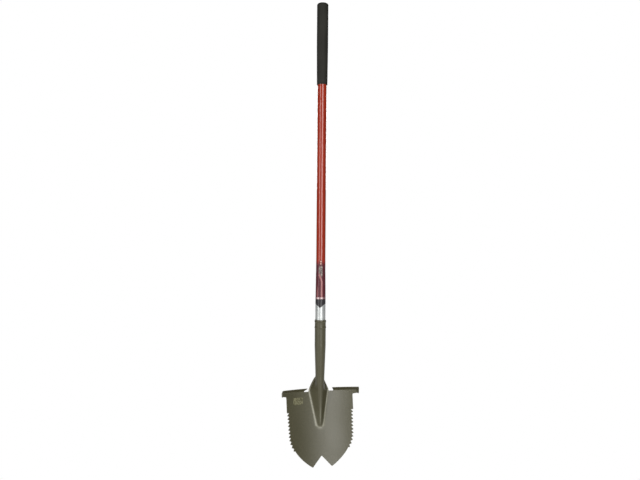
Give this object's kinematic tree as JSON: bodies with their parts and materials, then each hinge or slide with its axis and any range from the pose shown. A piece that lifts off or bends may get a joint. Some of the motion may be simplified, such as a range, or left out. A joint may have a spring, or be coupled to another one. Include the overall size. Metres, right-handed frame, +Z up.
{
  "type": "round point shovel",
  "caption": "Long-handled round point digging shovel with a dished steel blade, serrated sides, a notched point, forward-turned steps and a cushion grip.",
  "frame": {"origin": "on the handle axis at the middle of the straight part of the grip", "axes": "+Z up the handle toward the butt of the grip, +Y from the digging face to the back of the blade, +X to the right as the digging face is seen"},
  "size_m": [0.262, 0.064, 1.526],
  "materials": {
    "blade_paint": "satin olive drab powder coat over stamped steel",
    "rivet_steel": "coated together with the blade",
    "handle_fibreglass": "glossy orange-red resin over fibreglass",
    "core_wood": "plain turned hardwood, hidden",
    "collar_steel": "bright satin",
    "grip_rubber": "charcoal black, satin",
    "label_film": "printed film, dark red with a black lower band",
    "decal_film": "pale print on clear film"
  },
  "bodies": {
    "root": {"blade": "blade_paint", "socket_rivet": "rivet_steel", "handle_tube": "handle_fibreglass", "handle_core": "core_wood", "reinforcing_collar": "collar_steel", "cushion_grip": "grip_rubber", "handle_label": "label_film", "blade_decal": "decal_film"}
  },
  "joints": []
}
